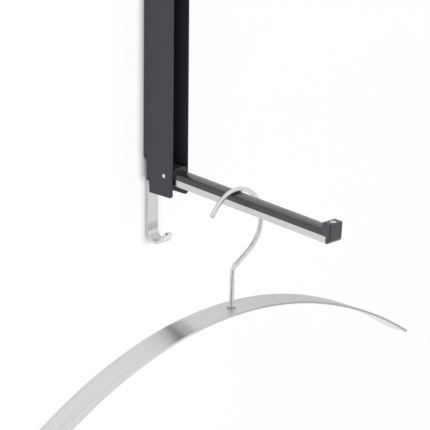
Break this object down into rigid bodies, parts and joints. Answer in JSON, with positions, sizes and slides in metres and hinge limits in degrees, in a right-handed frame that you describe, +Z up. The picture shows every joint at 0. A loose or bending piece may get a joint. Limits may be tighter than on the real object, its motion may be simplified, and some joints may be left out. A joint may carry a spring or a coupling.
{
  "type": "wall mounted clothes valet",
  "caption": "Wall mounted clothes valet: folded black steel channel, fold-down arm with metal rail and domed cover, flat J hook and a hanger with a wide arched metal band.",
  "frame": {"origin": "on the wall face, in the channel's middle plane, at the height of the arm's pivot", "axes": "+Z up, -Y out of the wall along the lowered arm, +X to the right seen from the room"},
  "size_m": [0.4659, 0.2288, 0.4072],
  "materials": {
    "black_steel": "fine matt black powder coat",
    "brushed_steel": "stainless steel, brushed along its length",
    "brushed_rail": "stainless profile, brushed along the arm",
    "brushed_band": "stainless sheet, brushed along the arch",
    "bright_steel": "turned bright steel",
    "zinc_steel": "zinc plated",
    "bronze": "sintered bearing bronze",
    "black_plastic": "moulded black polyamide, satin",
    "black_cover": "black plastic profile, satin",
    "rubber": "black rubber pad"
  },
  "bodies": {
    "housing": {"wall_channel": "black_steel", "hook_strip": "brushed_steel", "stop_block": "black_plastic", "stop_pad": "rubber", "stop_screws": "zinc_steel", "pivot_pin": "bright_steel", "catch_block": "black_plastic", "catch_magnet": "bright_steel", "catch_screws": "zinc_steel"},
    "arm": {"arm_knuckle": "black_plastic", "arm_rail": "brushed_rail", "arm_cover": "black_cover", "rail_screws": "zinc_steel", "end_cap": "black_plastic", "cap_magnet": "bright_steel", "bush_left": "bronze", "bush_right": "bronze"},
    "hanger_wire": {"hanger_hook": "brushed_steel", "hook_collar": "bright_steel", "stem_nut": "bright_steel"},
    "hanger_arch": {"hanger_band": "brushed_band"}
  },
  "joints": [
    {"name": "arm_fold", "type": "hinge", "parent": "housing", "child": "arm", "pos_m": [0, -0.027, 0], "axis": [-1, 0, 0], "range_deg": [0, 93.3]},
    {"name": "hanger_off", "type": "slide", "parent": "arm", "child": "hanger_wire", "axis": [0, -0.9998, 0.0175], "range_m": [0, 0.165]},
    {"name": "hanger_swivel", "type": "hinge", "parent": "hanger_wire", "child": "hanger_arch", "pos_m": [-0.0048, -0.1087, -0.1066], "axis": [0.0192, 0, 0.9998], "range_deg": [-24, 24]}
  ],
  "couplings": [
    {"joint": "hanger_off", "follows": "arm_fold", "m_per_rad": 0.10132}
  ]
}
